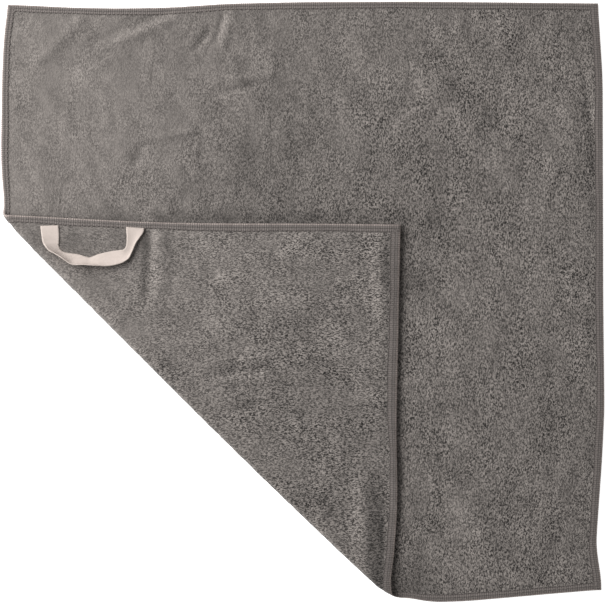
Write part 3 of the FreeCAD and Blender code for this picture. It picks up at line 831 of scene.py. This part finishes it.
def make_stitches(edge):
    """The two needle rows on both faces of one hem, and its rungs."""
    reach = half - 0.0010
    random = np.random.default_rng(40 + len(edge))
    parts = []
    starts = np.arange(-reach, reach - stitch_pitch, stitch_pitch)
    for face in (1, -1):
        for share, length in needle_rows:
            runs = starts[:, None] + np.linspace(0, length, 5)[None, :]
            inward = share * edge_width(edge, runs) + random.normal(0, 0.00008, (len(starts), 1))
            height = np.maximum(hem_height(inward, edge_width(edge, runs)), 0.00085) + 0.00008
            parts.append(tube(runs, inward, face * height, edge, needle_thread))
    rungs = np.arange(-reach, reach, rung_pitch)[:, None]
    around = np.linspace(-1, 0.45, 11)[None, :]
    run = rungs + 0.0003 * around + random.normal(0, 0.00010, rungs.shape)
    width = edge_width(edge, run)
    inward = width * 0.94 * np.abs(around) ** 1.7 - 0.00008
    height = np.sign(around) * (hem_height(np.maximum(inward, 0), width) + 0.00006)
    parts.append(tube(run, inward, height, edge, rung_thread))
    used = np.cumsum([0] + [len(part[0]) for part in parts])
    points = np.concatenate([part[0] for part in parts])
    faces = np.concatenate([part[1] + start for part, start in zip(parts, used)])
    past = np.concatenate([part[2] for part in parts])
    if edge in ("top", "right"):
        return {"flat": (new_piece(edge + "_stitches", points, faces), None)}
    return cut_at_fold(edge + "_stitches", points, faces, past)


thread_material = bpy.data.materials.new("dark_thread")
thread_material.use_nodes = True
thread_shader = thread_material.node_tree.nodes["Principled BSDF"]
thread_shader.inputs["Base Color"].default_value = thread_colour + (1.0,)
thread_shader.inputs["Roughness"].default_value = 0.7
for edge, nodes in {
    "left": {"flat": "left_seam", "corner": "flap_top_seam"},
    "bottom": {"flat": "bottom_seam", "corner": "flap_side_seam"},
    "top": {"flat": "top_seam"},
    "right": {"flat": "right_seam"},
}.items():
    parts = make_stitches(edge)
    for part, (threads, _) in parts.items():
        threads.data.materials.append(thread_material)
        if part in nodes:
            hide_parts(nodes[part])
    if len(parts) == 3:
        hinge_at_fold(parts)
    else:
        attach(parts["flat"][0], "towel")

# --- Hanging loop -----------------------------------------------------------------------------
# A length of cream woven tape, 12 mm wide. Its two ends are sewn under the hem on the folded
# corner's upper edge. The free run lies on the towel, its outer edge standing up but at the right.

tape_width = 0.012
tape_length = 0.105
tape_thickness = 0.0007
tape_colour = (0.585, 0.505, 0.458)
swing = next(joint for joint in frame["joints"] if joint["name"] == "loop_swing")
loop_origin = np.array(swing["pos_m"])
loop_right = -np.array(swing["axis"])
loop_out = np.array([-loop_right[1], loop_right[0], 0.0])

# across the span, out from the hem, both in mm, and the share of the width seen from above
tape_path = [
    (-28.4, 2.6, 1.00),
    (-28.4, -1.5, 1.00),
    (-27.9, -5.4, 0.99),
    (-27.3, -11.0, 0.93),
    (-25.9, -15.2, 0.66),
    (-23.2, -18.3, 0.36),
    (-20.0, -20.5, 0.28),
    (-16.6, -22.0, 0.42),
    (-12.5, -23.4, 0.61),
    (-7.9, -23.8, 0.56),
    (-4.5, -24.3, 0.44),
    (-1.2, -24.8, 0.39),
    (2.1, -24.3, 0.50),
    (5.4, -23.5, 0.63),
    (9.4, -22.9, 0.74),
    (14.0, -22.0, 0.78),
    (19.3, -20.9, 0.72),
    (22.9, -19.4, 0.58),
    (25.3, -16.4, 0.38),
    (26.4, -13.1, 0.40),
    (27.0, -10.1, 0.52),
    (27.9, -6.5, 0.72),
    (28.4, -3.8, 0.93),
    (28.6, -2.2, 1.00),
    (28.8, 1.6, 1.00),
]


def make_tape():
    """The tape as one twisted band: a smooth middle line, with each crossing tilted by its share."""
    table = np.array(tape_path)
    spaced = np.concatenate([[0], np.cumsum(np.hypot(*np.diff(table[:, :2], axis=0).T))])
    fine = np.linspace(0, spaced[-1], 201)
    rough = np.stack([np.interp(fine, spaced, column) for column in table.T], 1)
    kernel = np.hanning(11)[1:-1]
    padded = np.concatenate([np.repeat(rough[:1], 4, 0), rough, np.repeat(rough[-1:], 4, 0)])
    path = np.stack([np.convolve(padded[:, i], kernel / kernel.sum(), "valid") for i in range(3)], 1)
    across, out, share = path.T
    across, out = across / 1000, out / 1000
    heading = np.stack([np.gradient(across), np.gradient(out)], 1)
    heading /= np.linalg.norm(heading, axis=1, keepdims=True)
    outer = np.stack([heading[:, 1], -heading[:, 0]], 1)
    climb = np.sqrt(np.clip(1 - share**2, 0, 1))
    under_x = loop_origin[0] + across * loop_right[0] + out * loop_out[0]
    under_y = loop_origin[1] + across * loop_right[1] + out * loop_out[1]
    cloth_top = flap_base + flap_lift(under_x, under_y) + cloth_thickness / 2
    tucked = 0.0017 * smooth_step(out, -0.0018, -0.0002)
    lean = 0.5 - 0.46 * smooth_step(across, 0.012, 0.025)
    rise = cloth_top - loop_origin[2] + 0.0005 + 0.5 * tape_width / 2 * climb - tucked
    columns = np.linspace(-1, 1, 13)
    places = []
    for face in (1, -1):
        rows = []
        for column in columns if face > 0 else columns[::-1]:
            reach = column * tape_width / 2
            cup = 0.0015 * (column**2 - 0.5) * climb
            plan = np.stack([across, out], 1) + outer * (reach * share)[:, None]
            plan -= outer * ((cup + face * tape_thickness / 2) * climb)[:, None]
            height = rise + lean * reach * climb + (cup + face * tape_thickness / 2) * share
            rows.append(np.column_stack([plan, height]))
        places += rows
    local = np.stack(places, axis=1)
    points = (
        loop_origin
        + local[..., :1] * loop_right
        + local[..., 1:2] * loop_out
        + local[..., 2:] * np.array([0.0, 0.0, 1.0])
    )
    rows, columns_round = points.shape[:2]
    index = np.arange(rows * columns_round).reshape(rows, columns_round)
    following = np.roll(index, -1, axis=1)
    corners = (index[:-1], following[:-1], following[1:], index[1:])
    quads = np.stack([corner.ravel() for corner in corners], 1)
    run = np.repeat(np.linspace(0, tape_length, rows), columns_round)
    over = np.tile(np.concatenate([columns, columns[::-1]]), rows) * tape_width / 2
    return new_piece("loop_tape_woven", points.reshape(-1, 3), quads, np.stack([run, over], 1))


def make_tape_material():
    """Cream cotton tape in a fine plain weave."""
    material = bpy.data.materials.new("cream_tape")
    material.use_nodes = True
    tree = material.node_tree
    shader = tree.nodes["Principled BSDF"]
    place = add_node(tree, "ShaderNodeUVMap", uv_map="pattern")
    weft = add_node(tree, "ShaderNodeTexWave", {"Scale": 420.0, "Distortion": 1.0, "Detail": 1.0})
    weft.bands_direction = "X"
    tree.links.new(place.outputs["UV"], weft.inputs["Vector"])
    fuzz = add_node(tree, "ShaderNodeTexNoise", {"Scale": 500.0, "Detail": 2.0})
    tree.links.new(place.outputs["UV"], fuzz.inputs["Vector"])
    shade = add_node(tree, "ShaderNodeMix", data_type="RGBA")
    shade.inputs["A"].default_value = tuple(0.90 * part for part in tape_colour) + (1.0,)
    shade.inputs["B"].default_value = tuple(1.06 * part for part in tape_colour) + (1.0,)
    tree.links.new(fuzz.outputs["Fac"], shade.inputs["Factor"])
    tree.links.new(shade.outputs["Result"], shader.inputs["Base Color"])
    bump = add_node(tree, "ShaderNodeBump", {"Strength": 0.4, "Distance": 0.0002})
    tree.links.new(weft.outputs["Fac"], bump.inputs["Height"])
    tree.links.new(bump.outputs["Normal"], shader.inputs["Normal"])
    shader.inputs["Roughness"].default_value = 0.85
    shader.inputs["Specular IOR Level"].default_value = 0.25
    return material


tape = make_tape()
tape.data.materials.append(make_tape_material())
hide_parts("loop_tape", "loop_ends")
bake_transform(tape)

bpy.context.view_layer.update()
